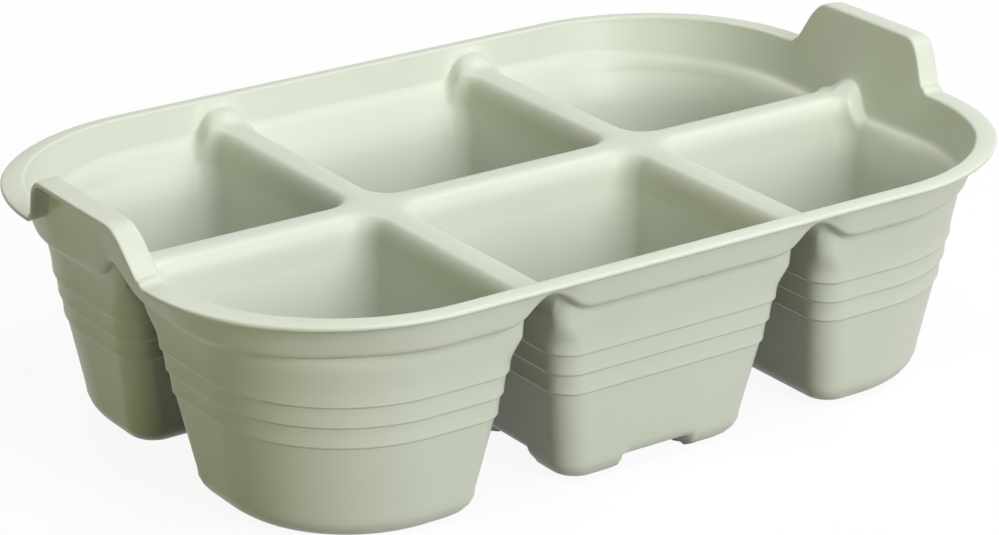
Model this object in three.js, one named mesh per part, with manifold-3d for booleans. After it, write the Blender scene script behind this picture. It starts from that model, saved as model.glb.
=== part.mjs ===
// Seed tray with six hanging cells and two raised carrying handles, in matte plastic.
// Millimetres, +Z up, +X along the length, origin under the middle of the base.
import * as THREE from 'three';
import { mergeVertices } from 'three/addons/utils/BufferGeometryUtils.js';
import Module from 'manifold-3d';

const wasm = await Module();
wasm.setup();

// Size over the rim before its ends lean, and the thickness of the moulding.
const LENGTH = 380;
const WIDTH = 250;
const CORNER_RADIUS = 85;
const WALL = 2;

// Height of the rim above the base, and how far the levels below it and the handles above it lie from it.
const RIM_HEIGHT = 96.6;
const HANDLE_RISE = 19.7;
const RIDGE_DROP = 8.4;
const SHOULDER_DROP = 14.3;
const BAND_DROP = 17;
const COVE_DROP = 22.5;

// Rim lip and the collar wall under it, as insets from the edge of the rim.
const LIP_END = 8;
const LIP_SIDE = 4.8;
const LIP_THICKNESS = 2.2;
const FLARE_END = 1.2;
const FLARE_SIDE = 2.4;
const BAND_ROUND = 3.2;

// Outward lean of the collar and the handles at the ends, the height above the rim at which they stand
// on the plain outline, and the distance from the middle of an end at which the lean has faded out.
const END_LEAN = 0.24;
const LEAN_PIVOT = 11.5;
const LEAN_REACH = 90;

// Shoulder from the foot of the collar in to the mouths of the cells, and the lower band at the ends.
const SHOULDER_END = 12;
const SHOULDER_SIDE = 6;
const END_DROP = 3;
const END_ZONE = 60;
const END_FADE = 50;

// Rounded ridges between the cells, and where the cross ridges stand.
const RIDGE_HALF = 8.5;
const CROSS_RIDGE_X = 61.5;

// Cells: taper from mouth to base, roundings, ring steps and base.
const CELL_TAPER = 13;
const CELL_CORNER = 9;
const BAND_CORNER = 5.5;
const MOUTH_CORNER = 58;
const BASE_CORNER = 51;
const BASE_FILLET = 8;
const CORNER_GROWTH = 12;
const STEP_DEPTH = 0.75;
const STEP_HEIGHT = 1.1;
const FIRST_STEP_DROP = 37.8;
const STEP_PITCH = 8.65;
const STEP_COUNT = 3;
const FOOT_HEIGHT = 4.8;
const FOOT_CHANNEL = 25;
const DRAIN_DIAMETER = 9;

// Handles: half of the flat top and the length of each ramp, measured round the rim.
const GRIP_HALF = 21.5;
const RAMP_LENGTH = 21.5;
const RAMP_SKEW = 0.63;
const RAMP_STEPS = 6;

// Mounds where the ridges run into the collar, and the arches in its band below them.
const MOUND_RADIUS = 11.3;
const MOUND_REACH = 10;
const MOUND_RISE = 4.8;
const MOUND_RISE_END = 3;
const MOUND_DEPTH = 12;
const ARCH_REACH = 18;
const ARCH_DROP = 7.8;
const ARCH_DEPTH = 4.5;

// Facets on small and large corners.
const SMALL_FACETS = 3;
const LARGE_FACETS = 9;

// Derived levels and insets.
const HALF_X = LENGTH / 2;
const HALF_Y = WIDTH / 2;
const RIDGE_TOP = RIM_HEIGHT - RIDGE_DROP;
const SHOULDER = RIM_HEIGHT - SHOULDER_DROP;
const BAND_FOOT = RIM_HEIGHT - BAND_DROP;
const JOINT_Z = RIM_HEIGHT - COVE_DROP;
const LIP_UNDER = RIM_HEIGHT - LIP_THICKNESS;
const LIP = { end: LIP_END, side: LIP_SIDE };
const BAND = { end: LIP_END + FLARE_END, side: LIP_SIDE + FLARE_SIDE };
const FIELD = { end: BAND.end + WALL, side: BAND.side + WALL };
const MOUTH = {
  end: FIELD.end + SHOULDER_END, side: FIELD.side + SHOULDER_SIDE, ridge: RIDGE_HALF, large: MOUTH_CORNER,
};
const MOUTH_OUT = {
  end: MOUTH.end - WALL, side: MOUTH.side - WALL, ridge: MOUTH.ridge - WALL, large: MOUTH.large + WALL,
};
const STRAIGHT = HALF_Y - CORNER_RADIUS;
const STUB = 1.5;
const RIDGE_REACH_X = HALF_X - MOUTH.end - CELL_CORNER - STUB;
const RIDGE_REACH_Y = HALF_Y - MOUTH.side - CELL_CORNER - STUB;
const RIDGE_ZONE = RIDGE_HALF + CELL_CORNER + STUB;
const SPILL = 40;

const SAGE = 0xc6d0ba;

function smooth(t) {
  const u = Math.min(Math.max(t, 0), 1);
  return u * u * (3 - 2 * u);
}

function blend(low, high, t) {
  return low + (high - low) * t;
}

// Drop of a quarter of an ellipse, from level at 0 to upright at 1.
function quarterRound(t) {
  return 1 - Math.sqrt(1 - t * t);
}

// A closed solid from a plain position and index geometry.
function solid(geometry) {
  const bare = geometry.clone();
  bare.deleteAttribute('normal');
  bare.deleteAttribute('uv');
  const merged = mergeVertices(bare);
  const vertProperties = new Float32Array(merged.attributes.position.array);
  const triVerts = new Uint32Array(merged.index.array);
  return new wasm.Manifold(new wasm.Mesh({ numProp: 3, vertProperties, triVerts }));
}

function box(x0, x1, y0, y1, z0, z1) {
  const shape = new THREE.BoxGeometry(x1 - x0, y1 - y0, z1 - z0);
  shape.translate((x0 + x1) / 2, (y0 + y1) / 2, (z0 + z1) / 2);
  return solid(shape);
}

// Skin over a stack of equal rings of points, closed by a flat cap at each end.
function loft(rings) {
  const count = rings[0].length;
  const position = rings.flat(2);
  const index = [];
  for (let level = 0; level + 1 < rings.length; level += 1) {
    for (let k = 0; k < count; k += 1) {
      const a = level * count + k;
      const b = level * count + (k + 1) % count;
      index.push(a, b, b + count, a, b + count, a + count);
    }
  }
  const last = (rings.length - 1) * count;
  for (let k = 1; k + 1 < count; k += 1) {
    index.push(0, k + 1, k, last, last + k, last + k + 1);
  }
  const geometry = new THREE.BufferGeometry();
  geometry.setAttribute('position', new THREE.Float32BufferAttribute(position, 3));
  geometry.setIndex(index);
  return solid(geometry);
}

// Shares of a quarter turn at the points of a corner. Large corners are finer next to the end of the tray.
function turns(quarter, large) {
  const facets = large ? LARGE_FACETS : SMALL_FACETS;
  const even = Array.from({ length: facets + 1 }, (_, k) => k / facets);
  if (!large) {
    return even;
  }
  return quarter % 2 === 0 ? even.map((t) => t ** 1.5) : even.map((t) => 1 - (1 - t) ** 1.5);
}

// Points of one corner arc, counter-clockwise from the angle given in quarter turns.
function corner(cx, cy, radius, quarter, large) {
  return turns(quarter, large).map((t) => {
    const angle = (quarter + t) * Math.PI / 2;
    return [cx + radius * Math.cos(angle), cy + radius * Math.sin(angle)];
  });
}

// Rise of the rim over a handle at a distance round the rim from the middle of an end.
function handleRise(way) {
  const t = Math.max((GRIP_HALF + RAMP_LENGTH - way) / RAMP_LENGTH, 0);
  return HANDLE_RISE * smooth(smooth(t ** RAMP_SKEW));
}

// Share of the way from the sides of the tray to its ends.
function nearEnd(x) {
  return smooth((Math.abs(x) - HALF_X + END_ZONE) / END_FADE);
}

// How far the leaning ends lie inside the plain outline at a height.
function leanIn(y, z) {
  return END_LEAN * (RIM_HEIGHT + LEAN_PIVOT - z) * Math.max(1 - (y / LEAN_REACH) ** 2, 0);
}

// Layout of a ring along the rim, moved in from the insets of a line on it.
function along({ end, side }, more = 0) {
  return { end: end + more, side: side + more, large: CORNER_RADIUS - (end + side) / 2 - more };
}

const EDGE = { end: 0, side: 0 };

// One ring round the tray. It follows the handles by the share lift, rises by raise at the ends and leans there.
function trayRing({ end, side, large }, z, { lift = 0, raise = 0, lean = 1 } = {}) {
  const cx = HALF_X - end - large;
  const cy = HALF_Y - side - large;
  const ramp = Array.from({ length: RAMP_STEPS }, (_, k) => blend(STRAIGHT, GRIP_HALF, (k + 1) / RAMP_STEPS));
  const across = [...ramp.map((y) => -y), ...ramp.reverse()];
  const spots = [[1, 1], [-1, 1], [-1, -1], [1, -1]];
  const points = spots.flatMap(([sx, sy], quarter) => {
    const arc = corner(sx * cx, sy * cy, large, quarter, true).map(([x, y], k) => {
      const t = turns(quarter, true)[k];
      const turn = quarter % 2 === 0 ? t : 1 - t;
      return { x, y, way: STRAIGHT + CORNER_RADIUS * turn * Math.PI / 2 };
    });
    const straight = across.map((y) => ({ x: sx * (HALF_X - end), y: sx * y, way: Math.abs(y) }));
    return quarter % 2 === 0 ? [...straight, ...arc] : arc;
  });
  return points.map(({ x, y, way }) => {
    const level = z + lift * handleRise(way) + raise * nearEnd(x);
    return [x - Math.sign(x) * lean * leanIn(y, level), y, level];
  });
}

// The six cells by column and row, with the limits of a layout: ends, sides and ridge lines.
const COLUMNS = [
  { name: 'left', span: ({ end, ridge }) => [end - HALF_X, -CROSS_RIDGE_X - ridge] },
  { name: 'middle', span: ({ ridge }) => [ridge - CROSS_RIDGE_X, CROSS_RIDGE_X - ridge] },
  { name: 'right', span: ({ end, ridge }) => [CROSS_RIDGE_X + ridge, HALF_X - end] },
];
const ROWS = [
  { name: 'front', span: ({ side, ridge }) => [side - HALF_Y, -ridge] },
  { name: 'back', span: ({ side, ridge }) => [ridge, HALF_Y - side] },
];

// A layout moved in on every side.
function movedIn(layout, inset, large) {
  const { end, side, ridge } = layout;
  return { end: end + inset, side: side + inset, ridge: ridge + inset, large };
}

// One ring of a cell. The corner at a corner of the tray is the large one.
function cellRing(column, row, layout, z, small) {
  const [x0, x1] = column.span(layout);
  const [y0, y1] = row.span(layout);
  const spots = [
    { sx: 1, sy: 1, large: column.name === 'right' && row.name === 'back' },
    { sx: -1, sy: 1, large: column.name === 'left' && row.name === 'back' },
    { sx: -1, sy: -1, large: column.name === 'left' && row.name === 'front' },
    { sx: 1, sy: -1, large: column.name === 'right' && row.name === 'front' },
  ];
  return spots.flatMap(({ sx, sy, large }, quarter) => {
    const radius = large ? layout.large : small;
    const cx = sx > 0 ? x1 - radius : x0 + radius;
    const cy = sy > 0 ? y1 - radius : y0 + radius;
    return corner(cx, cy, radius, quarter, large);
  }).map(([x, y]) => [x, y, z]);
}

// Layout of a cell's wall at a height, from its mouth down, with an extra inset for roundings and steps.
function wallLayout(mouth, z, extra) {
  const part = (JOINT_Z - z) / JOINT_Z;
  const large = mouth.large + (BASE_CORNER - MOUTH_CORNER) * part - Math.max(extra, 0);
  return movedIn(mouth, CELL_TAPER * part + extra, large);
}

function middle([low, high]) {
  return (low + high) / 2;
}

// Rounded edge where a wall turns into the floor, from the floor up.
function floorRounding(radius, floor, facets) {
  const levels = [];
  for (let k = 0; k <= facets; k += 1) {
    const angle = k / facets * Math.PI / 2;
    levels.push({ z: floor + radius * (1 - Math.cos(angle)), extra: radius * (1 - Math.sin(angle)) });
  }
  return levels;
}

// Outer wall of a cell: each band swells towards its lower edge and steps in below it.
function cellOuter(column, row) {
  const full = CELL_CORNER + WALL;
  const levels = floorRounding(BASE_FILLET, 0, 3).map(({ z, extra }) => ({ z, extra, small: full - extra / 4 }));
  for (let k = STEP_COUNT - 1; k >= 0; k -= 1) {
    const edge = RIM_HEIGHT - FIRST_STEP_DROP - k * STEP_PITCH;
    const above = edge + STEP_PITCH - STEP_HEIGHT;
    levels.push({ z: edge - STEP_HEIGHT, extra: 0, small: full }, { z: edge, extra: -STEP_DEPTH, small: full });
    levels.push({ z: blend(edge, above, 0.45), extra: -STEP_DEPTH * 0.38, small: full });
  }
  for (const grown of [1, 0.4, 0]) {
    levels.push({ z: JOINT_Z - CORNER_GROWTH * grown, extra: 0, small: blend(BAND_CORNER, full, grown) });
  }
  return loft(levels.map(({ z, extra, small }) => {
    return cellRing(column, row, wallLayout(MOUTH_OUT, z, extra), z, small);
  }));
}

function cellInner(column, row) {
  const levels = floorRounding(BASE_FILLET - WALL, WALL, 2);
  levels.push({ z: JOINT_Z, extra: 0 }, { z: JOINT_Z + SPILL, extra: 0 });
  return loft(levels.map(({ z, extra }) => {
    return cellRing(column, row, wallLayout(MOUTH, Math.min(z, JOINT_Z), extra), z, CELL_CORNER - extra / 4);
  }));
}

// Channels across the base of a middle cell, which leave a foot at each corner.
function footChannels(column, row, grow) {
  const [x0, x1] = column.span(MOUTH_OUT);
  const [y0, y1] = row.span(MOUTH_OUT);
  const half = FOOT_CHANNEL / 2 + grow;
  const top = FOOT_HEIGHT + grow;
  const cx = middle([x0, x1]);
  const cy = middle([y0, y1]);
  return box(x0, x1, cy - half, cy + half, -1, top).add(box(cx - half, cx + half, y0, y1, -1, top));
}

function buildCell(column, row) {
  let outer = cellOuter(column, row);
  let inner = cellInner(column, row);
  if (column.name === 'middle') {
    outer = outer.subtract(footChannels(column, row, 0));
    inner = inner.subtract(footChannels(column, row, WALL));
  }
  const drain = new THREE.CylinderGeometry(DRAIN_DIAMETER / 2, DRAIN_DIAMETER / 2, SPILL, 12);
  drain.rotateX(Math.PI / 2);
  drain.translate(middle(column.span(MOUTH)), middle(row.span(MOUTH)), 0);
  return outer.subtract(inner).subtract(solid(drain));
}

// Rounded roll from a cell's wall up to the ridge tops, cut out of the field between the ridges.
function cellMouth(column, row) {
  const shares = [1, 0.95, 0.8, 0.58, 0.34, 0.12];
  const layoutAt = (share) => ({
    end: blend(FIELD.end, MOUTH.end, share),
    side: blend(FIELD.side, MOUTH.side, share),
    ridge: MOUTH.ridge * share,
    large: blend(along(FIELD).large, MOUTH.large, share),
  });
  const ringAt = (share, z) => {
    const plain = cellRing(column, row, layoutAt(share), z, CELL_CORNER + MOUTH.ridge * (1 - share));
    return plain.map(([x, y]) => [x - Math.sign(x) * nearEnd(x) * (1 - share) * leanIn(y, z), y, z]);
  };
  const roll = shares.map((share) => ringAt(share, blend(RIDGE_TOP, JOINT_Z, quarterRound(share))));
  return loft([ringAt(1, JOINT_Z - 1), ...roll, ringAt(shares.at(-1), RIDGE_TOP + 1)]);
}

// Where the ridges end at the collar. The long ridge runs along x, the cross ridges along y.
const RIDGE_ENDS = [
  { x: -CROSS_RIDGE_X, y: FIELD.side - HALF_Y, long: false },
  { x: CROSS_RIDGE_X, y: FIELD.side - HALF_Y, long: false },
  { x: -CROSS_RIDGE_X, y: HALF_Y - FIELD.side, long: false },
  { x: CROSS_RIDGE_X, y: HALF_Y - FIELD.side, long: false },
  { x: FIELD.end + leanIn(0, RIDGE_TOP) - HALF_X, y: 0, long: true },
  { x: HALF_X - FIELD.end - leanIn(0, RIDGE_TOP), y: 0, long: true },
];

// Swelling where a ridge runs up into the collar, less a skin.
function mound({ x, y, long }, skin) {
  const ball = new THREE.SphereGeometry(1, 16, 10);
  ball.rotateX(Math.PI / 2);
  const across = MOUND_RADIUS - skin * 1.5;
  const reach = MOUND_REACH - skin * 1.5;
  ball.scale(long ? reach : across, long ? across : reach, MOUND_DEPTH - skin);
  ball.translate(x, y, RIDGE_TOP + (long ? MOUND_RISE_END : MOUND_RISE) - MOUND_DEPTH);
  return solid(ball);
}

// Arched channel under a ridge, which runs out through the collar at both ends.
function archedChannel(x, long) {
  const vault = new THREE.CylinderGeometry(1, 1, LENGTH + SPILL, 16);
  vault.scale(MOUTH_OUT.ridge, 1, RIDGE_TOP - WALL - JOINT_Z);
  if (long) {
    vault.rotateZ(Math.PI / 2);
  }
  vault.translate(x, 0, JOINT_Z);
  return solid(vault);
}

// Bell-shaped arch, which opens the band of the collar over the end of a channel.
function bandArch(x, long) {
  const reach = HALF_X + SPILL;
  const profile = [];
  for (let k = -6; k <= 6; k += 1) {
    const away = ARCH_REACH * k / 6;
    profile.push([away, blend(RIM_HEIGHT - ARCH_DROP, JOINT_Z, smooth(Math.abs(k) / 6))]);
  }
  profile.push([ARCH_REACH, JOINT_Z - 1], [-ARCH_REACH, JOINT_Z - 1]);
  const ringAt = (run) => profile.map(([away, z]) => (long ? [run, away, z] : [x - away, run, z]));
  return loft([ringAt(reach), ringAt(-reach)]);
}

// Collar, lip and handles: the skin runs up the outside, over the lip and down the inside.
function buildUpper() {
  const foot = along(BAND, BAND_ROUND);
  const coveAt = (share) => {
    const drop = quarterRound(share);
    const layout = {
      end: blend(foot.end, MOUTH_OUT.end, share),
      side: blend(foot.side, MOUTH_OUT.side, share),
      large: blend(foot.large, MOUTH_OUT.large, share),
    };
    return trayRing(layout, blend(BAND_FOOT, JOINT_Z, drop), { raise: -END_DROP * (1 - drop), lean: 1 - share });
  };
  const outside = [
    ...[1, 0.95, 0.8, 0.5, 0].map(coveAt),
    trayRing(along(BAND, BAND_ROUND * 0.3), BAND_FOOT + BAND_ROUND * 0.3, { raise: -END_DROP }),
    trayRing(along(BAND), BAND_FOOT + BAND_ROUND, { raise: -END_DROP }),
    trayRing(along(LIP), LIP_UNDER - 1, { lift: 1 }),
  ];
  const inside = [
    trayRing(along(LIP, -1), LIP_UNDER, { lift: 1 }),
    trayRing(along(EDGE, WALL / 2), LIP_UNDER - 0.6, { lift: 1 }),
    trayRing(along(EDGE), LIP_UNDER + LIP_THICKNESS / 2 - 0.6, { lift: 1 }),
    trayRing(along(EDGE, WALL / 2), RIM_HEIGHT - 0.6, { lift: 1 }),
    trayRing(along(LIP, WALL * 0.4), RIM_HEIGHT, { lift: 1 }),
    trayRing(along(LIP, WALL * 0.8), RIM_HEIGHT - 0.4, { lift: 1 }),
    trayRing(along(LIP, WALL), RIM_HEIGHT - 1.2, { lift: 1 }),
    trayRing(along(FIELD), SHOULDER + 1),
    trayRing(along(FIELD, 0.8), SHOULDER),
  ];
  let body = loft([...outside, ...inside]);
  const within = loft([JOINT_Z, RIM_HEIGHT].map((z) => trayRing(along(FIELD, -WALL / 2), z)));
  const field = loft([JOINT_Z - 2, RIM_HEIGHT].map((z) => trayRing(along(FIELD), z)));
  let core = loft([JOINT_Z - 3, RIM_HEIGHT].map((z) => trayRing(along(FIELD, ARCH_DEPTH), z)));
  for (const column of COLUMNS) {
    for (const row of ROWS) {
      core = core.add(loft([JOINT_Z - 2, RIM_HEIGHT].map((z) => cellRing(column, row, MOUTH_OUT, z, BAND_CORNER))));
    }
  }
  const bar = RIDGE_HALF + 1;
  let bars = box(-HALF_X, HALF_X, -bar, bar, JOINT_Z, RIDGE_TOP);
  let hollow = archedChannel(0, true);
  let arches = bandArch(0, true);
  for (const x of [-CROSS_RIDGE_X, CROSS_RIDGE_X]) {
    bars = bars.add(box(x - bar, x + bar, -HALF_Y, HALF_Y, JOINT_Z, RIDGE_TOP));
    hollow = hollow.add(archedChannel(x, false));
    arches = arches.add(bandArch(x, false));
  }
  hollow = hollow.add(arches.subtract(core));
  body = body.add(bars.intersect(within));
  let cups = null;
  for (const column of COLUMNS) {
    for (const row of ROWS) {
      body = body.subtract(cellMouth(column, row));
      cups = cups ? cups.add(cellInner(column, row)) : cellInner(column, row);
    }
  }
  for (const end of RIDGE_ENDS) {
    body = body.add(mound(end, 0).intersect(within).subtract(cups));
    hollow = hollow.add(mound(end, WALL).intersect(field));
  }
  return body.subtract(hollow);
}

function mesh(name, shape) {
  const data = shape.getMesh();
  const geometry = new THREE.BufferGeometry();
  geometry.setAttribute('position', new THREE.BufferAttribute(new Float32Array(data.vertProperties), 3));
  geometry.setIndex(new THREE.BufferAttribute(new Uint32Array(data.triVerts), 1));
  geometry.computeVertexNormals();
  const material = new THREE.MeshStandardMaterial({ color: SAGE, roughness: 0.6, metalness: 0 });
  const node = new THREE.Mesh(geometry, material);
  node.name = name;
  return node;
}

const tray = new THREE.Group();
tray.name = 'seed_tray';

for (const row of ROWS) {
  for (const column of COLUMNS) {
    tray.add(mesh(`cell_${row.name}_${column.name}`, buildCell(column, row)));
  }
}

// The upper moulding is divided into ridges, collar, rim and handles on flat faces.
const upper = buildUpper();
const top = RIM_HEIGHT + HANDLE_RISE + SPILL;
const ridgeLevel = [JOINT_Z - SPILL, top];
const longZone = box(-RIDGE_REACH_X, RIDGE_REACH_X, -RIDGE_ZONE, RIDGE_ZONE, ...ridgeLevel);
tray.add(mesh('long_ridge', upper.intersect(longZone)));
let collar = upper.subtract(longZone);
for (const [side, sx] of [['left', -1], ['right', 1]]) {
  const x = sx * CROSS_RIDGE_X;
  const zones = {
    front: box(x - RIDGE_ZONE, x + RIDGE_ZONE, -RIDGE_REACH_Y, -RIDGE_ZONE, ...ridgeLevel),
    back: box(x - RIDGE_ZONE, x + RIDGE_ZONE, RIDGE_ZONE, RIDGE_REACH_Y, ...ridgeLevel),
  };
  for (const [row, zone] of Object.entries(zones)) {
    tray.add(mesh(`${side}_ridge_${row}`, upper.intersect(zone)));
    collar = collar.subtract(zone);
  }
}

const rimLevel = LIP_UNDER - 1.2;
const lowZone = (x0, x1) => box(x0, x1, -HALF_Y - 1, HALF_Y + 1, JOINT_Z - 1, rimLevel);
tray.add(mesh('left_collar', collar.intersect(lowZone(-HALF_X - SPILL, 0))));
tray.add(mesh('right_collar', collar.intersect(lowZone(0, HALF_X + SPILL))));
const rim = collar.intersect(box(-HALF_X - SPILL, HALF_X + SPILL, -HALF_Y - 1, HALF_Y + 1, rimLevel, top));
const rimPart = (x0, x1, y0, y1) => rim.intersect(box(x0, x1, y0, y1, rimLevel - 1, top));
const handleHalf = GRIP_HALF + RAMP_LENGTH;
tray.add(mesh('left_handle', rimPart(-HALF_X - SPILL, 0, -handleHalf, handleHalf)));
tray.add(mesh('right_handle', rimPart(0, HALF_X + SPILL, -handleHalf, handleHalf)));
tray.add(mesh('front_rim', rimPart(-HALF_X - SPILL, HALF_X + SPILL, -HALF_Y - 1, -handleHalf)));
tray.add(mesh('back_rim', rimPart(-HALF_X - SPILL, HALF_X + SPILL, handleHalf, HALF_Y + 1)));

export default tray;
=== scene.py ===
# Seed tray: one thin moulding with six hanging cells, a flared collar, a lip and two raised handles.
# Its inside and its outside are each laid out ring by ring, and joined at the lip and the drain holes.
import math

import bpy
import numpy as np
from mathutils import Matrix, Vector


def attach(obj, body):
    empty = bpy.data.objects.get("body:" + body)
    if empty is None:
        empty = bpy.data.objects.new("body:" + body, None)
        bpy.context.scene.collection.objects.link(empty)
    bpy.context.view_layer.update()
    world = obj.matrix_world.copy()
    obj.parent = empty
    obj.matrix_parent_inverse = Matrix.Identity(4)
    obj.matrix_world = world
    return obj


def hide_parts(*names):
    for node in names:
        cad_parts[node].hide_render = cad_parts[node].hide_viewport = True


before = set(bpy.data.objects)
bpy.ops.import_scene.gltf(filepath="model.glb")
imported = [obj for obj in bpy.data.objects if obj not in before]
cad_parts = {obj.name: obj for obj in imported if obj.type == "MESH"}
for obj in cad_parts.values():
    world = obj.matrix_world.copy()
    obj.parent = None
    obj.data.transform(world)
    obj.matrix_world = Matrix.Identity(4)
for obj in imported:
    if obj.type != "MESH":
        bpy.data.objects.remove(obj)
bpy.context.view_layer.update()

MM = 0.001

# Sizes in millimetres. Most are those of the solids. The base's edge and channels, the steps, the mounds and
# the arches differ a little, to come closer to the photograph.
LENGTH = 380.0
WIDTH = 250.0
CORNER_RADIUS = 85.0
WALL = 2.0
RIM_HEIGHT = 96.6
HANDLE_RISE = 19.7
END_LEAN = 0.24
LEAN_PIVOT = 11.5
LEAN_REACH = 90.0
LIP_END = 8.0
LIP_SIDE = 4.8
FLARE_END = 1.2
FLARE_SIDE = 2.4
RIDGE_DROP = 8.4
SHOULDER_DROP = 14.3
END_DROP = 3.0
BAND_DROP = 17.0
COVE_DROP = 22.5
CROSS_RIDGE_X = 61.5
RIDGE_HALF = 8.5
SHOULDER_END = 12.0
SHOULDER_SIDE = 6.0
MOUTH_CORNER = 58.0
BASE_CORNER = 51.0
CELL_TAPER = 13.0
CELL_CORNER = 9.0
BAND_CORNER = 5.5
BASE_FILLET = 11.0
STEP_DEPTH = 0.6
STEP_HEIGHT = 0.8
FIRST_STEP_DROP = 37.8
STEP_PITCH = 8.65
STEP_COUNT = 3
FOOT_HEIGHT = 4.8
FOOT_CHANNEL = 33.0
DRAIN_DIAMETER = 9.0
GRIP_HALF = 21.5
RAMP_LENGTH = 21.5
RAMP_SKEW = 0.63
MOUND_RADIUS = 12.5
MOUND_REACH = 10.0
MOUND_RADIUS_END = 11.0
MOUND_REACH_END = 11.0
MOUND_RISE = 4.8
MOUND_RISE_END = 3.0
MOUND_DEPTH = 12.0
ARCH_REACH_SIDE = 24.5
ARCH_REACH_END = 20.0
ARCH_DROP = 7.8

# Roundings, mostly finer than the solids show.
CORNER_FLARE = 3.0
MOUTH_FLARE = 2.2
MOUTH_FLARE_DEPTH = 14.0
MOUND_BLEND = 4.5
ARCH_BLEND_SIDE = 4.5
ARCH_BLEND_END = 9.0
LIP_FILLET = 0.8
RIDGE_EDGE = 3.2
FOOT_FILLET = 2.6
BAND_ROUND = 3.2
LIP_DROOP = 0.6
LIP_THICKNESS = 2.2
LIP_INNER = 1.2

# Mounds at the sides and at the ends: half-width, reach in from the wall and rise above the ridge. The powers
# say how flat their tops are and how late they fade towards a mouth.
SIDE_MOUND = (MOUND_RADIUS, MOUND_REACH, MOUND_RISE)
END_MOUND = (MOUND_RADIUS_END, MOUND_REACH_END, MOUND_RISE_END)
DOME_POWER = 3
MOUND_FADE = 3

HALF_X = LENGTH / 2
HALF_Y = WIDTH / 2
RIDGE_TOP = RIM_HEIGHT - RIDGE_DROP
JOINT_Z = RIM_HEIGHT - COVE_DROP
ROOF = RIDGE_TOP - WALL
# Insets from the rim's edge, at the ends and at the sides.
BAND = (LIP_END + FLARE_END, LIP_SIDE + FLARE_SIDE)
BAND_FOOT = (BAND[0] + BAND_ROUND, BAND[1] + BAND_ROUND)
FIELD = (BAND[0] + WALL, BAND[1] + WALL)
MOUTH_END = FIELD[0] + SHOULDER_END
MOUTH_SIDE = FIELD[1] + SHOULDER_SIDE

# Where the change to the tray's ends starts along its length, and how far it runs.
SHOULDER_ENDS = (110, 60)
BAND_ENDS = (130, 50)
LEAN_ENDS = (120, 40)
# Distances over which a ridge sinks to the shoulder, an arch gives way to the vault under its ridge, and the
# outer corners of a cell open below the band.
CREST_REACH = 16
VAULT_REACH = 10
CORNER_REACH = 12

# Fineness of the rings: facets round the corners of a cell, with the wide ones crowded next to the handle.
SMALL_FACETS = 16
LARGE_FACETS = 26
CROWDING = 1.5
# Half-width of the flanks of a base channel, and the places of the rings' points across it.
CHANNEL_SOFT = 0.9
CHANNEL_PLACES = (-0.9, -0.3, 0.3, 0.9)
# Points along a straight side from its end to a channel, as many again to its middle, and the first ones'
# spacing.
SIDE_POINTS = 4
SIDE_SPACING = 0.1
# Rings between the ridge lines and a mouth; up to SQUARE_REACH their small corners are drawn sharp.
FIELD_SHARES = [0.0, 0.02, 0.06, 0.12, 0.2, 0.3, 0.41, 0.53, 0.66, 0.78, 0.87, 0.94, 0.98, 1.0]
SQUARE_REACH = 0.54
SQUARE_POWER = 0.8
# Rings down a wall, from the joint with the collar over the steps to the edge of the base.
JOINT_DROPS = (1.5, 3.5, 6, 9)
STEP_PLACES = (5.4, 3.6, 2.2, 1.1, 0.4, 0.0, -0.3, -0.6, -0.9, -1.2)
LOWER_ROWS = 8
# Power of the swell towards a step's edge, and the height up to which a base channel lifts the rings.
STEP_SWELL = 1.6
LIFT_REACH = 16.0
# Rings round the edge of the base, how far the corners close there, and the places of the rings between that
# edge and the drain hole.
EDGE_ROWS = 6
EDGE_CLOSING = 2.5
FLOOR_SHARES = (0.12, 0.25, 0.38, 0.5, 0.62, 0.74, 0.86, 0.95, 1.0)
# Rows up the collar and over the lip, on the inside and on the outside, and round the lip's edge.
INNER_WALL_ROWS = 8
INNER_LIP_ROWS = 5
INNER_TOP_ROWS = 6
OUTER_FOOT_ROWS = 4
OUTER_WALL_ROWS = 6
OUTER_LIP_ROWS = 4
OUTER_UNDER_ROWS = 5
LIP_EDGE_ROWS = 6
# Distance within which a point counts as on an outline, decimals to which points are welded, and the least
# length that is divided by.
ON_OUTLINE = 1e-3
WELD_DECIMALS = 3
TINY = 1e-6


def smooth(t):
    """Soft step from 0 to 1."""
    u = np.clip(t, 0.0, 1.0)
    return u * u * (3 - 2 * u)


def blend(low, high, t):
    """Value at the share t of the way from low to high."""
    return low + (high - low) * t


def quarter_round(t):
    """Drop of a quarter of an ellipse, from level at 0 to upright at 1."""
    return 1 - np.sqrt(np.maximum(1 - np.minimum(t, 1) ** 2, 0))


def flat_round(t):
    """As a quarter round, but flatter on top and tighter at the edge."""
    u = np.clip(t, 0.0, 1.0)
    return 1 - (1 - u ** RIDGE_EDGE) ** (1 / RIDGE_EDGE)


def soft_max(a, b, width):
    """The larger of two heights, rounded over a width where they meet."""
    return np.maximum(a, b) + np.maximum(width - np.abs(a - b), 0) ** 2 / (4 * width)


def end_share(p, ends):
    """0 along the middle of the tray and 1 at its ends, for points in plan."""
    first, run = ends
    return smooth((np.abs(p[:, 0]) - first) / run)


def side_fractions():
    """Places along a straight side, closer together where the channels of the base cross it."""
    straight = 2 * (CROSS_RIDGE_X - RIDGE_HALF - CELL_TAPER - CELL_CORNER)
    edge = 0.5 - FOOT_CHANNEL / 2 / straight
    steps = range(1, SIDE_POINTS + 1)
    low = [edge * smooth(SIDE_SPACING * k) * 2 for k in steps]
    low += [edge + d / straight for d in CHANNEL_PLACES]
    high = [edge + (0.5 - edge) * k / SIDE_POINTS for k in steps]
    half = low + high
    return half + [1 - f for f in reversed(half[:-1])]


SIDE = side_fractions()


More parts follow.
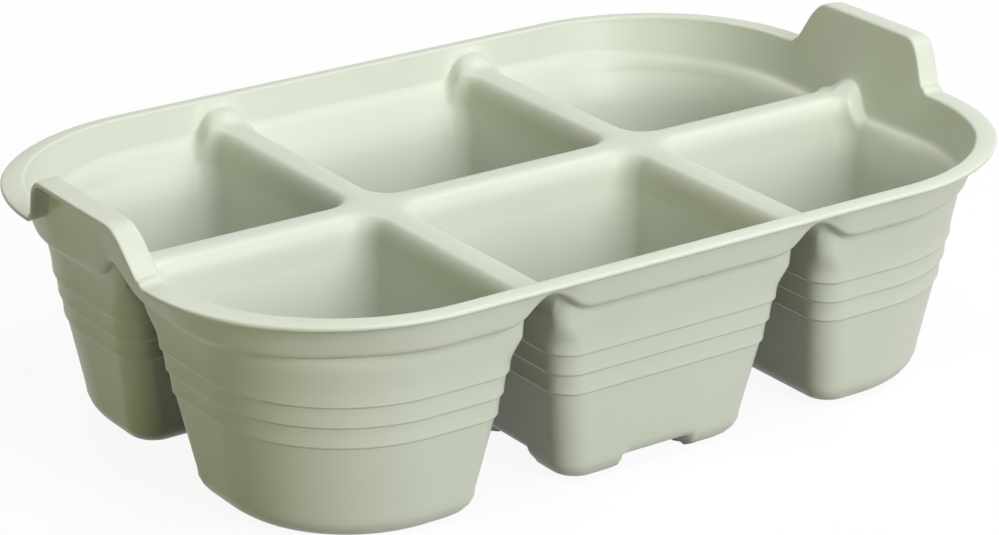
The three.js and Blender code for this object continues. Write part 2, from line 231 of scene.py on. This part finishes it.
class Cell:
    """One cell of the tray, with its field up to the ridge lines and the foot of the collar."""

    def __init__(self, row, column):
        self.column = column
        self.left, self.right = column == "left", column == "right"
        self.front = row == "front"
        outer_x = {"left": -1, "middle": 0, "right": 1}[column]
        outer_y = -1 if self.front else 1
        self.corners = []
        for sx, sy in ((1, 1), (-1, 1), (-1, -1), (1, -1)):
            self.corners.append((sx, sy, sx == outer_x and sy == outer_y))
        x0, x1, y0, y1 = self.extent(MOUTH_END, MOUTH_SIDE, RIDGE_HALF)
        self.cx, self.cy = (x0 + x1) / 2, (y0 + y1) / 2

    def extent(self, end, side, ridge):
        """Limits in plan, by insets at the rim's ends and sides and the distance from ridge lines."""
        x0 = -HALF_X + end if self.left else (CROSS_RIDGE_X if self.right else -CROSS_RIDGE_X) + ridge
        x1 = HALF_X - end if self.right else (-CROSS_RIDGE_X if self.left else CROSS_RIDGE_X) - ridge
        y0, y1 = (-HALF_Y + side, -ridge) if self.front else (ridge, HALF_Y - side)
        return x0, x1, y0, y1

    def ring(self, end, side, ridge, small, wide_radius, square=0.0):
        """Points of one ring, with its small corners drawn towards sharp ones by the share square."""
        x0, x1, y0, y1 = self.extent(end, side, ridge)
        arcs = []
        for quarter, (sx, sy, wide) in enumerate(self.corners):
            r = wide_radius if wide else small
            facets = LARGE_FACETS if wide else SMALL_FACETS
            ex, ey = (x1 if sx > 0 else x0), (y1 if sy > 0 else y0)
            t = np.arange(facets + 1) / facets
            if wide:
                # Closer together next to the handle.
                t = t ** CROWDING if sx * sy > 0 else 1 - (1 - t) ** CROWDING
            angle = (quarter + t) * math.pi / 2
            arc = np.c_[ex - sx * r + r * np.cos(angle), ey - sy * r + r * np.sin(angle)]
            if not wide and square > 0:
                # Along the two sides of the corner instead of round it.
                start, last, tip = arc[0], arc[-1], np.array([ex, ey])
                first = start + (tip - start) * np.clip(2 * t, 0, 1)[:, None]
                second = (last - tip) * np.clip(2 * t - 1, 0, 1)[:, None]
                arc = arc * (1 - square) + (first + second) * square
            arcs.append(arc)
        points = []
        for k in range(4):
            a, b = arcs[k][-1], arcs[(k + 1) % 4][0]
            points.append(arcs[k])
            points.append(np.array([a + (b - a) * f for f in SIDE]))
        return np.vstack(points)


CELLS = [Cell(row, column) for row in ("front", "back") for column in ("left", "middle", "right")]
# Where the ridges end: the place, and whether the ridge runs along the tray.
RIDGE_ENDS = [(sx * CROSS_RIDGE_X, sy * (HALF_Y - FIELD[1]), False) for sx in (-1, 1) for sy in (-1, 1)]
RIDGE_ENDS += [(sx * (HALF_X - FIELD[0]), 0.0, True) for sx in (-1, 1)]


def outline(inset):
    """Corner radius, and the corner's centre, of the outline at insets from the rim's ends and sides."""
    radius = CORNER_RADIUS - (inset[0] + inset[1]) / 2
    return radius, np.array([HALF_X - inset[0] - radius, HALF_Y - inset[1] - radius])


def depth_inside(p, inset):
    """Distance of points in plan from an outline, positive inside it."""
    radius, core = outline(inset)
    q = np.abs(p) - core
    return radius - np.linalg.norm(np.maximum(q, 0), axis=1) - np.minimum(q.max(axis=1), 0)


def lean_in(p, z):
    """How far the leaning ends of the collar lie inside the plain outline."""
    across = np.maximum(1 - (p[:, 1] / LEAN_REACH) ** 2, 0)
    return -np.sign(p[:, 0]) * END_LEAN * (RIM_HEIGHT + LEAN_PIVOT - z) * across


def ridge_distance(p):
    """Distance of points in plan from the nearest ridge line."""
    across = np.abs(np.abs(p[:, 0]) - CROSS_RIDGE_X)
    return np.minimum(across, np.abs(p[:, 1]))


def inner_height(p, share, start):
    """Height of the ridges, the shoulder and the mounds; start is where the points are at share 0."""
    at_end = end_share(start, SHOULDER_ENDS)
    by_wall = smooth(ridge_distance(start) / CREST_REACH)
    crest = RIDGE_TOP - (SHOULDER_DROP + END_DROP * at_end - RIDGE_DROP) * by_wall
    near = np.clip(1 - depth_inside(p, FIELD) / FOOT_FILLET, 0, 1)
    drop = blend(flat_round(share), share ** 2, by_wall)
    level = crest - (crest - JOINT_Z) * drop + FOOT_FILLET * quarter_round(near) * (1 - share ** 2)
    top = level
    for x, y, turned in RIDGE_ENDS:
        across, along = np.abs(p[:, 0] - x), np.abs(p[:, 1] - y)
        if turned:
            across, along = along, across
        radius, reach, rise = END_MOUND if turned else SIDE_MOUND
        rho = np.sqrt((across / radius) ** 2 + (along / reach) ** 2)
        dome = RIDGE_TOP + rise - MOUND_DEPTH * rho ** DOME_POWER
        top = soft_max(top, dome, MOUND_BLEND)
    return blend(top, level, share ** MOUND_FADE)


def outer_height(p, share, start):
    """Height of the underside: vaults under the ridges, arches in the band and the cove under it."""
    at_end = end_share(start, BAND_ENDS)
    band = RIM_HEIGHT - BAND_DROP - END_DROP * at_end
    cove = band - (band - JOINT_Z) * blend(quarter_round(share), share, at_end)
    away = ridge_distance(p)
    vault = ROOF - (ROOF - JOINT_Z) * quarter_round(away / (RIDGE_HALF - WALL))
    reach = blend(ARCH_REACH_SIDE, ARCH_REACH_END, at_end)
    bell = JOINT_Z + (RIM_HEIGHT - ARCH_DROP - JOINT_Z) * (1 - smooth(away / reach))
    arch = soft_max(bell, cove, blend(ARCH_BLEND_SIDE, ARCH_BLEND_END, at_end))
    within = smooth(depth_inside(p, BAND_FOOT) / VAULT_REACH)
    return blend(arch, np.maximum(vault, cove), within)


def channel_lift(cell, p):
    """Rise of the base of a middle cell over its two crossing channels."""
    if cell.column != "middle":
        return np.zeros(len(p))
    reach = FOOT_CHANNEL / 2 + CHANNEL_SOFT
    lift_x = smooth((reach - np.abs(p[:, 0] - cell.cx)) / (2 * CHANNEL_SOFT))
    lift_y = smooth((reach - np.abs(p[:, 1] - cell.cy)) / (2 * CHANNEL_SOFT))
    return FOOT_HEIGHT * np.maximum(lift_x, lift_y)


STEP_EDGES = [RIM_HEIGHT - FIRST_STEP_DROP - k * STEP_PITCH for k in range(STEP_COUNT)]


def step_relief(z):
    """How far a band of the outer wall stands out: it swells to its lower edge and steps in below."""
    relief = 0.0
    for edge in STEP_EDGES:
        above = edge + (STEP_PITCH - STEP_HEIGHT)
        swell = min(max((above - z) / (above - edge), 0), 1) ** STEP_SWELL
        under = smooth((z - edge + STEP_HEIGHT) / STEP_HEIGHT)
        if edge - STEP_HEIGHT <= z <= above:
            relief = max(relief, swell if z >= edge else under)
    return relief * STEP_DEPTH


class Skin:
    """Points and faces of one side of the moulding, welded where they meet."""

    def __init__(self):
        self.points, self.faces = [], []
        self.index = {}

    def add(self, p):
        key = tuple(np.round(p, WELD_DECIMALS))
        if key not in self.index:
            self.index[key] = len(self.points)
            self.points.append(np.array(p, float))
        return self.index[key]

    def ring(self, pts):
        return [self.add(p) for p in pts]

    def band(self, low, high):
        count = len(low)
        for k in range(count):
            n = (k + 1) % count
            quad = [low[k], low[n], high[n], high[k]]
            lone = [q for i, q in enumerate(quad) if q != quad[i - 1]]
            if len(lone) > 2:
                self.faces.append(lone)


def field_rings(cell, first, mouth, corner, height):
    """Rings from the ridge lines and the foot of the collar in to a mouth, before the ends lean."""
    mouth_end, mouth_side, mouth_ridge, mouth_corner = mouth
    rings = []
    for share in FIELD_SHARES:
        square = max(0.0, 1 - share / SQUARE_REACH) ** SQUARE_POWER
        end, side = blend(first[0], mouth_end, share), blend(first[1], mouth_side, share)
        wide = blend(outline(first)[0], mouth_corner, share)
        small = corner + mouth_ridge * (1 - share)
        plan = cell.ring(end, side, mouth_ridge * share, small, wide, square)
        start = rings[0][:, :2] if rings else plan
        rings.append(np.c_[plan, height(plan, share, start)])
    return rings


def leaned(ring, share):
    """A ring with its points near the ends and corners of the tray moved by a share of the lean."""
    near = end_share(ring, LEAN_ENDS)
    moved = ring.copy()
    moved[:, 0] += lean_in(ring[:, :2], ring[:, 2]) * near * share
    normal = plan_normal(ring[:, :2], FIELD)
    at_corner = 4 * normal[:, 0] ** 2 * normal[:, 1] ** 2
    below = np.clip((RIM_HEIGHT - LIP_THICKNESS - ring[:, 2]) / BAND_DROP, 0, 1)
    moved[:, :2] -= normal * (CORNER_FLARE * share * at_corner * below)[:, None]
    return moved


def wall_levels():
    """Heights of the rings down a cell's wall, close together at the steps."""
    levels = [JOINT_Z - d for d in JOINT_DROPS]
    for edge in STEP_EDGES:
        levels += [edge + d for d in STEP_PLACES]
    last = levels[-1]
    return levels + [last + (BASE_FILLET - last) * k / LOWER_ROWS for k in range(1, LOWER_ROWS + 1)]


def lifted(cell, plan, z):
    """A ring at a height above the base, raised where the channels run under it."""
    lift = channel_lift(cell, plan)
    return np.c_[plan, z + lift * max(1 - z / LIFT_REACH, 0)]


def mouth_roll(z):
    """How far the shoulder's roll carries the inside of a cell's outer walls inwards at a height."""
    return MOUTH_FLARE * (1 - max(1 - (JOINT_Z - z) / MOUTH_FLARE_DEPTH, 0) ** 2)


def cup_rings(cell, mouth, corner, outward):
    """Rings down the wall of a cell, round the edge of its base and in to its drain hole."""
    end, side, ridge, wide = mouth
    rings = []
    floor = 0.0 if outward else WALL
    for z in wall_levels():
        part = (JOINT_Z - z) / JOINT_Z
        inset = CELL_TAPER * part
        if outward:
            inset -= step_relief(z)
        grow = smooth((JOINT_Z - z) / CORNER_REACH)
        small = blend(BAND_CORNER, corner, grow) if outward else corner
        radius = blend(wide, wide + BASE_CORNER - MOUTH_CORNER, part)
        roll = 0 if outward else mouth_roll(z)
        plan = cell.ring(end + inset + roll, side + inset + roll, ridge + inset, small, radius - roll)
        rings.append(lifted(cell, plan, z))
    if not outward:
        end, side, wide = end + MOUTH_FLARE, side + MOUTH_FLARE, wide - MOUTH_FLARE
    part = (JOINT_Z - BASE_FILLET) / JOINT_Z
    radius = blend(wide, wide + BASE_CORNER - MOUTH_CORNER, part)
    fillet = BASE_FILLET - floor
    for k in range(1, EDGE_ROWS + 1):
        angle = k / EDGE_ROWS * math.pi / 2
        inset = CELL_TAPER * part + fillet * (1 - math.cos(angle))
        plan = cell.ring(end + inset, side + inset, ridge + inset, corner - EDGE_CLOSING * k / EDGE_ROWS,
                         radius - fillet * (1 - math.cos(angle)))
        rings.append(lifted(cell, plan, floor + fillet * (1 - math.sin(angle))))
    edge = rings[-1][:, :2]
    angle = np.arctan2(edge[:, 1] - cell.cy, edge[:, 0] - cell.cx)
    hole = np.array([cell.cx, cell.cy]) + DRAIN_DIAMETER / 2 * np.c_[np.cos(angle), np.sin(angle)]
    for f in FLOOR_SHARES:
        rings.append(lifted(cell, edge * (1 - f) + hole * f, floor))
    return rings


def handle_rise(p, normal):
    """Rise of the rim over a handle, by the distance round the rim from the middle of the end."""
    straight = HALF_Y - CORNER_RADIUS
    turn = np.arctan2(np.abs(normal[:, 1]), np.abs(normal[:, 0]))
    way = np.minimum(np.abs(p[:, 1]), straight) + CORNER_RADIUS * turn
    t = np.clip((GRIP_HALF + RAMP_LENGTH - way) / RAMP_LENGTH, 0, 1)
    return HANDLE_RISE * smooth(smooth(t ** RAMP_SKEW))


def plan_normal(p, inset):
    """Outward direction in plan of points on an outline."""
    core = outline(inset)[1]
    q = p - np.clip(p, -core, core)
    return q / np.maximum(np.linalg.norm(q, axis=1), TINY)[:, None]


def quarter_turn(rows):
    """Angles from 0 to a right angle, in equal steps."""
    return [k / rows * math.pi / 2 for k in range(rows + 1)]


def inner_collar(lip, field):
    """Rows from the foot of the collar to the lip's edge: inset, lift of the foot, height above the rim
    and share of the way from the one to the other."""
    top_in = lip + WALL
    rows = []
    for k in range(1, INNER_WALL_ROWS):
        share = k / INNER_WALL_ROWS
        rows.append((blend(field, top_in, share), 0.0, -LIP_INNER, share))
    for angle in quarter_turn(INNER_LIP_ROWS):
        rows.append((top_in - LIP_INNER * (1 - math.cos(angle)), 0.0, LIP_INNER * (math.sin(angle) - 1), 1.0))
    flat = top_in - LIP_INNER - LIP_THICKNESS / 2
    for k in range(1, INNER_TOP_ROWS + 1):
        out = k / INNER_TOP_ROWS
        rows.append((top_in - LIP_INNER - flat * k / INNER_TOP_ROWS, 0.0, -LIP_DROOP * out ** 2, 1.0))
    return rows


def outer_collar(lip, band):
    """The same for the outside, from the rounded foot of the band to the underside of the lip."""
    rows = []
    for angle in quarter_turn(OUTER_FOOT_ROWS)[1:]:
        rows.append((band + BAND_ROUND * (1 - math.sin(angle)), BAND_ROUND * (1 - math.cos(angle)), 0.0, 0.0))
    under = -LIP_THICKNESS
    for k in range(1, OUTER_WALL_ROWS):
        share = k / OUTER_WALL_ROWS
        rows.append((blend(band, lip, share), BAND_ROUND, under - LIP_FILLET, share))
    for angle in quarter_turn(OUTER_LIP_ROWS):
        inset = lip - LIP_FILLET * (1 - math.cos(angle))
        rows.append((inset, BAND_ROUND, under - LIP_FILLET * (1 - math.sin(angle)), 1.0))
    flat = lip - LIP_FILLET - LIP_THICKNESS / 2
    for k in range(1, OUTER_UNDER_ROWS + 1):
        out = k / OUTER_UNDER_ROWS
        inset = lip - LIP_FILLET - flat * k / OUTER_UNDER_ROWS
        rows.append((inset, BAND_ROUND, under - LIP_DROOP * out ** 2, 1.0))
    return rows


def build_skin(first, mouth, corner, height, outward, collar):
    """One side of the moulding; gives the skin, its drain holes, the lip's row and its plan normals."""
    skin = Skin()
    foot, holes = {}, []
    for cell in CELLS:
        plain = field_rings(cell, first, mouth, BAND_CORNER if outward else corner, height)
        rings = [leaned(ring, 1 - share) for ring, share in zip(plain, FIELD_SHARES)]
        rings += cup_rings(cell, mouth, corner, outward)
        rows = [skin.ring(r) for r in rings]
        for a, b in zip(rows[:-1], rows[1:]):
            skin.band(a, b)
        holes.append(rows[-1])
        on_wall = np.abs(depth_inside(plain[0][:, :2], first)) < ON_OUTLINE
        foot.update({rows[0][k]: plain[0][k] for k in range(len(on_wall)) if on_wall[k]})
    # The foot of the collar, in order round the tray.
    below = sorted(foot, key=lambda v: math.atan2(foot[v][1] * LENGTH / WIDTH, foot[v][0]))
    base = np.array([foot[v] for v in below])
    normal = plan_normal(base[:, :2], first)
    rise = handle_rise(base[:, :2], normal)
    at_end = normal[:, 0] ** 2
    for (end, lift, drop, share), (side, _, _, _) in zip(*collar):
        outwards = blend(first[1] - side, first[0] - end, at_end)
        plan = base[:, :2] + normal * outwards[:, None]
        z = blend(base[:, 2] + lift, RIM_HEIGHT + rise + drop, share)
        ring = skin.ring(leaned(np.c_[plan, z], 1))
        skin.band(ring, below)
        below = ring
    return skin, holes, below, normal


def ribbon(near, far):
    """Faces between two closed rows of points."""
    faces = []
    for k in range(len(near)):
        n = (k + 1) % len(near)
        faces.append([near[k], far[k], far[n], near[n]])
    return faces


def build_moulding():
    """Both sides of the moulding joined round the lip and the drain holes."""
    inner_mouth = (MOUTH_END, MOUTH_SIDE, RIDGE_HALF, MOUTH_CORNER)
    outer_mouth = (MOUTH_END - WALL, MOUTH_SIDE - WALL, RIDGE_HALF - WALL, MOUTH_CORNER + WALL)
    inside = inner_collar(LIP_END, FIELD[0]), inner_collar(LIP_SIDE, FIELD[1])
    outside = outer_collar(LIP_END, BAND[0]), outer_collar(LIP_SIDE, BAND[1])
    inner, holes, lip, lip_normal = build_skin(
        FIELD, inner_mouth, CELL_CORNER, inner_height, False, inside)
    outer, outer_holes, outer_lip, _ = build_skin(
        BAND_FOOT, outer_mouth, CELL_CORNER + WALL, outer_height, True, outside)
    count = len(inner.points)
    points = [np.array(inner.points), np.array(outer.points)]
    faces = [list(f) for f in inner.faces] + [[v + count for v in reversed(f)] for f in outer.faces]
    for hole, outer_hole in zip(holes, outer_holes):
        for near, far, far_next, near_next in ribbon(hole, [v + count for v in outer_hole]):
            faces.append([near_next, near, far, far_next])
    # Half-round edge of the lip.
    top, low = points[0][lip], points[1][outer_lip]
    middle, across = (top + low) / 2, (top - low) / 2
    outward = np.c_[lip_normal, np.zeros(len(lip))] * LIP_THICKNESS / 2
    start = count + len(outer.points)
    previous = list(lip)
    for k in range(1, LIP_EDGE_ROWS):
        angle = math.pi * k / LIP_EDGE_ROWS
        points.append(middle + across * math.cos(angle) + outward * math.sin(angle))
        row = list(range(start, start + len(lip)))
        start += len(lip)
        faces += ribbon(previous, row)
        previous = row
    faces += ribbon(previous, [v + count for v in outer_lip])
    return np.vstack(points), faces


# Plastic: reflection, base colours of its faint flow, roughness, and the sizes of the flow and the grain.
PLASTIC_IOR = 1.46
PLASTIC_SPECULAR = 0.3
SAGE_DARK = (0.592, 0.632, 0.542, 1)
SAGE_PALE = (0.616, 0.654, 0.565, 1)
SAGE_STOPS = (0.3, 0.7)
ROUGHNESS_RANGE = (0.34, 0.42)
FLOW_SCALE = 14.0
FLOW_DETAIL = 3.0
GRAIN_SCALE = 1500.0
GRAIN_DETAIL = 2.0
GRAIN_STRENGTH = 0.12
GRAIN_DEPTH = 0.0002


def noise(nodes, links, place, scale, detail):
    """Noise over the object, at a scale."""
    texture = nodes.new("ShaderNodeTexNoise")
    texture.inputs["Scale"].default_value = scale
    texture.inputs["Detail"].default_value = detail
    links.new(place.outputs["Object"], texture.inputs["Vector"])
    return texture.outputs["Fac"]


def plastic():
    """Matte moulded plastic in pale sage green, with a fine grain and faint flow in its colour."""
    material = bpy.data.materials.new("sage_plastic")
    material.use_nodes = True
    nodes, links = material.node_tree.nodes, material.node_tree.links
    shader = nodes["Principled BSDF"]
    shader.inputs["IOR"].default_value = PLASTIC_IOR
    shader.inputs["Specular IOR Level"].default_value = PLASTIC_SPECULAR
    place = nodes.new("ShaderNodeTexCoord")
    flow = noise(nodes, links, place, FLOW_SCALE, FLOW_DETAIL)
    tint = nodes.new("ShaderNodeValToRGB")
    for stop, position, colour in zip(tint.color_ramp.elements, SAGE_STOPS, (SAGE_DARK, SAGE_PALE)):
        stop.position = position
        stop.color = colour
    links.new(flow, tint.inputs["Fac"])
    links.new(tint.outputs["Color"], shader.inputs["Base Color"])
    grain = noise(nodes, links, place, GRAIN_SCALE, GRAIN_DETAIL)
    rough = nodes.new("ShaderNodeMapRange")
    rough.inputs["To Min"].default_value = ROUGHNESS_RANGE[0]
    rough.inputs["To Max"].default_value = ROUGHNESS_RANGE[1]
    links.new(grain, rough.inputs["Value"])
    links.new(rough.outputs["Result"], shader.inputs["Roughness"])
    bump = nodes.new("ShaderNodeBump")
    bump.inputs["Strength"].default_value = GRAIN_STRENGTH
    bump.inputs["Distance"].default_value = GRAIN_DEPTH
    links.new(grain, bump.inputs["Height"])
    links.new(bump.outputs["Normal"], shader.inputs["Normal"])
    return material


# Limits of the named pieces, as on the solids: how far a ridge reaches past the cells' corners, and how far
# the rim reaches below the lip.
STUB = 1.5
RIM_SEAM = 1.2
RIDGE_ZONE = RIDGE_HALF + CELL_CORNER + STUB
RIDGE_REACH_X = HALF_X - MOUTH_END - CELL_CORNER - STUB
RIDGE_REACH_Y = HALF_Y - MOUTH_SIDE - CELL_CORNER - STUB
RIM_LEVEL = RIM_HEIGHT - LIP_THICKNESS - RIM_SEAM
HANDLE_HALF = GRIP_HALF + RAMP_LENGTH


def node_at(x, y, z):
    """Name of the solid to which a place on the moulding belongs."""
    row = "front" if y < 0 else "back"
    side = "left" if x < 0 else "right"
    if z < JOINT_Z:
        column = side if abs(x) > CROSS_RIDGE_X else "middle"
        return f"cell_{row}_{column}"
    if abs(x) < RIDGE_REACH_X and abs(y) < RIDGE_ZONE:
        return "long_ridge"
    if abs(abs(x) - CROSS_RIDGE_X) < RIDGE_ZONE and abs(y) < RIDGE_REACH_Y:
        return f"{side}_ridge_{row}"
    if z < RIM_LEVEL:
        return f"{side}_collar"
    return f"{side}_handle" if abs(y) < HANDLE_HALF else f"{row}_rim"


def add_pieces(material):
    """The moulding as its named pieces, which keep the normals of the whole so that no seam shows."""
    points, faces = build_moulding()
    whole = bpy.data.meshes.new("moulding")
    whole.from_pydata((points * MM).tolist(), [], faces)
    normals = np.empty(len(points) * 3)
    whole.vertex_normals.foreach_get("vector", normals)
    normals = normals.reshape(-1, 3)
    groups = {}
    for face in faces:
        groups.setdefault(node_at(*points[face].mean(axis=0)), []).append(face)
    for node, own in groups.items():
        used = sorted({v for face in own for v in face})
        place = {v: k for k, v in enumerate(used)}
        mesh = bpy.data.meshes.new(node + "_moulded")
        mesh.from_pydata((points[used] * MM).tolist(), [], [[place[v] for v in face] for face in own])
        mesh.shade_smooth()
        mesh.normals_split_custom_set_from_vertices(normals[used].tolist())
        mesh.materials.append(material)
        piece = bpy.data.objects.new(node + "_moulded", mesh)
        bpy.context.scene.collection.objects.link(piece)
        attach(piece, "root")
        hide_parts(node)
    bpy.data.meshes.remove(whole)


# Level of the world's light on the tray, and the tint of that light and of the lamp on the shaded side.
WORLD_LIGHT = 0.03
SHADE_TINT = (1.0, 1.0, 0.38)
PLAIN_WHITE = (1.0, 1.0, 1.0)
# Floor: half its width and its gap under the tray in metres, the share of plain white in it where it is seen,
# its colour for light that falls on the tray and where it is seen, and its roughness.
FLOOR_HALF = 6.0
FLOOR_GAP = 0.0002
FLOOR_WHITE = 0.92
FLOOR_GREY = (0.25, 0.25, 0.21, 1)
FLOOR_PALE = (0.95, 0.95, 0.95, 1)
FLOOR_ROUGHNESS = 0.9
# Colour sockets of a Mix node.
MIX_SHARE, MIX_FIRST, MIX_SECOND, MIX_RESULT = 0, 6, 7, 2


def seen_directly(nodes, links):
    """Socket that is 1 for camera, glossy and transmission rays."""
    path = nodes.new("ShaderNodeLightPath")
    first = nodes.new("ShaderNodeMath")
    first.operation = "MAXIMUM"
    links.new(path.outputs["Is Camera Ray"], first.inputs[0])
    links.new(path.outputs["Is Glossy Ray"], first.inputs[1])
    both = nodes.new("ShaderNodeMath")
    both.operation = "MAXIMUM"
    links.new(first.outputs["Value"], both.inputs[0])
    links.new(path.outputs["Is Transmission Ray"], both.inputs[1])
    return both.outputs["Value"]


def mixed_colour(nodes, links, share, first, second):
    """Socket of the colour between two, by the share of the second."""
    mix = nodes.new("ShaderNodeMix")
    mix.data_type = "RGBA"
    mix.inputs[MIX_FIRST].default_value = first
    mix.inputs[MIX_SECOND].default_value = second
    links.new(share, mix.inputs[MIX_SHARE])
    return mix.outputs[MIX_RESULT]


def add_floor():
    """White floor, which keeps the tray's shadow."""
    mesh = bpy.data.meshes.new("floor")
    corners = [(sx * FLOOR_HALF, sy * FLOOR_HALF, 0) for sx, sy in ((-1, -1), (1, -1), (1, 1), (-1, 1))]
    mesh.from_pydata(corners, [], [(0, 1, 2, 3)])
    floor = bpy.data.objects.new("floor", mesh)
    floor.location.z = -FLOOR_GAP
    bpy.context.scene.collection.objects.link(floor)
    material = bpy.data.materials.new("floor_white")
    material.use_nodes = True
    nodes, links = material.node_tree.nodes, material.node_tree.links
    shader = nodes["Principled BSDF"]
    shader.inputs["Roughness"].default_value = FLOOR_ROUGHNESS
    shader.inputs["Specular IOR Level"].default_value = 0.0
    white = nodes.new("ShaderNodeEmission")
    white.inputs["Strength"].default_value = 1.0
    share = nodes.new("ShaderNodeMath")
    share.operation = "MULTIPLY"
    share.inputs[1].default_value = FLOOR_WHITE
    direct = seen_directly(nodes, links)
    links.new(direct, share.inputs[0])
    links.new(mixed_colour(nodes, links, direct, FLOOR_GREY, FLOOR_PALE), shader.inputs["Base Color"])
    mix = nodes.new("ShaderNodeMixShader")
    links.new(share.outputs["Value"], mix.inputs["Fac"])
    links.new(shader.outputs["BSDF"], mix.inputs[1])
    links.new(white.outputs["Emission"], mix.inputs[2])
    links.new(mix.outputs["Shader"], nodes["Material Output"].inputs["Surface"])
    mesh.materials.append(material)


# Soft lamps round the tray: degrees round from the front to the right, degrees up, watts and tint. Their
# distance and size are in metres.
LAMP_DISTANCE = 2.2
LAMP_SIZE = 1.0
LAMPS = {
    "front_low": (8, 21, 31.0, PLAIN_WHITE),
    "front": (0, 42, 6.5, PLAIN_WHITE),
    "front_high": (0, 68, 13.5, PLAIN_WHITE),
    "right": (72, 57, 15.5, PLAIN_WHITE),
    "back": (180, 50, 10.5, PLAIN_WHITE),
    "left": (-85, 10, 6.5, SHADE_TINT),
}


def add_lamp(name, azimuth, elevation, power, tint):
    """A round lamp that faces the tray."""
    light = bpy.data.lights.new(name, "AREA")
    light.shape = "DISK"
    light.size = LAMP_SIZE
    light.energy = power
    light.color = tint
    lamp = bpy.data.objects.new(name, light)
    away = direction(azimuth, elevation)
    lamp.location = away * LAMP_DISTANCE
    lamp.rotation_euler = look(-away)
    bpy.context.scene.collection.objects.link(lamp)


def direction(azimuth, elevation):
    """Direction from the tray, in degrees round from the front to the right and up."""
    a, e = math.radians(azimuth), math.radians(elevation)
    return np.array([math.sin(a) * math.cos(e), -math.cos(a) * math.cos(e), math.sin(e)])


def look(way):
    """Rotation of a lamp or camera that faces a way."""
    return Vector(way).to_track_quat("-Z", "Y").to_euler()


# Camera: angles round and above the tray, distance, focal length in pixels of the picture's width, and the
# point at the middle of the picture.
AZIMUTH = -34.81
ELEVATION = 21.86
DISTANCE = 1.392
FOCAL_PX = 3526.0
PICTURE_PX = 999
SENSOR_MM = 36.0
FAR_CLIP = 50.0
TARGET = (-0.0036, 0.0, 0.0479)


def add_camera():
    """The camera fitted to the photograph."""
    data = bpy.data.cameras.new("camera")
    camera = bpy.data.objects.new("camera", data)
    back = direction(AZIMUTH, ELEVATION)
    camera.location = np.array(TARGET) + back * DISTANCE
    camera.rotation_euler = look(-back)
    data.sensor_width = SENSOR_MM
    data.lens = FOCAL_PX * SENSOR_MM / PICTURE_PX
    data.clip_end = FAR_CLIP
    bpy.context.scene.collection.objects.link(camera)
    bpy.context.scene.camera = camera


def add_world():
    """White surroundings as they are seen, and a weak light from all round on the tray."""
    scene = bpy.context.scene
    scene.view_settings.view_transform = "Standard"
    world = bpy.data.worlds.new("studio")
    world.use_nodes = True
    nodes, links = world.node_tree.nodes, world.node_tree.links
    background = nodes["Background"]
    level = nodes.new("ShaderNodeMapRange")
    level.inputs["To Min"].default_value = WORLD_LIGHT
    level.inputs["To Max"].default_value = 1.0
    direct = seen_directly(nodes, links)
    links.new(direct, level.inputs["Value"])
    links.new(level.outputs["Result"], background.inputs["Strength"])
    tone = mixed_colour(nodes, links, direct, (*SHADE_TINT, 1), (*PLAIN_WHITE, 1))
    links.new(tone, background.inputs["Color"])
    scene.world = world


add_pieces(plastic())
add_floor()
add_camera()
add_world()
for lamp_name, lamp_values in LAMPS.items():
    add_lamp(lamp_name, *lamp_values)
